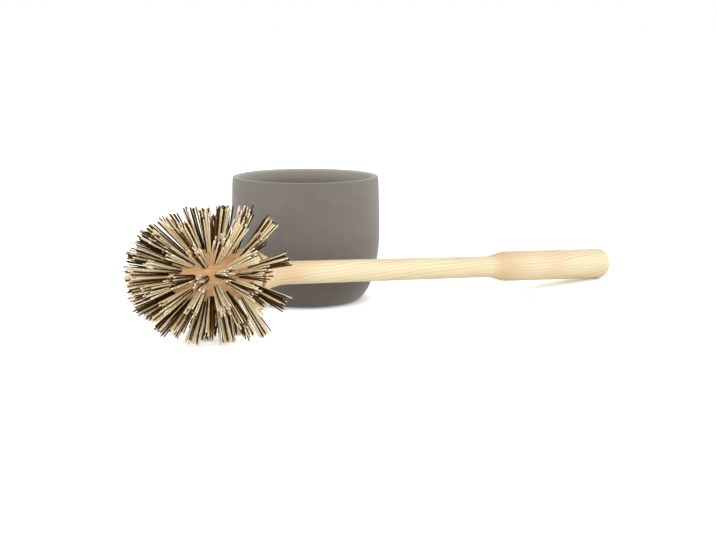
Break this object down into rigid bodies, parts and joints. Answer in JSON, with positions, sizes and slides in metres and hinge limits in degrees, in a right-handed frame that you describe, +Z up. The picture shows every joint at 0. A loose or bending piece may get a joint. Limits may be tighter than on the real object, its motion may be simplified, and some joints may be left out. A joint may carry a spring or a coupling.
{
  "type": "toilet brush with holder",
  "caption": "Turned wooden toilet brush with a round head of drawn plant-fibre tufts, lying in front of its open round concrete holder cup.",
  "frame": {"origin": "centre of the holder cup's foot, on the floor that the cup and the brush rest on", "axes": "+Z up, +X along the lying brush from its head towards its grip, the brush on the -Y side of the cup"},
  "size_m": [0.4032, 0.1654, 0.0847],
  "materials": {
    "concrete": "matte",
    "birch": "satin",
    "plant_fibre": "matte",
    "washer_leather": "matte",
    "wire": "satin"
  },
  "bodies": {
    "holder": {"holder_cup": "concrete"},
    "brush": {"handle": "birch", "head_block": "birch", "seam_washer": "washer_leather", "drawing_wire": "wire", "tufts_nose": "plant_fibre", "tufts_front": "plant_fibre", "tufts_middle": "plant_fibre", "tufts_rear": "plant_fibre"}
  },
  "joints": [
    {"name": "brush_lift", "type": "slide", "parent": "holder", "child": "brush", "axis": [0, 0, 1], "range_m": [0, 0.2]}
  ]
}
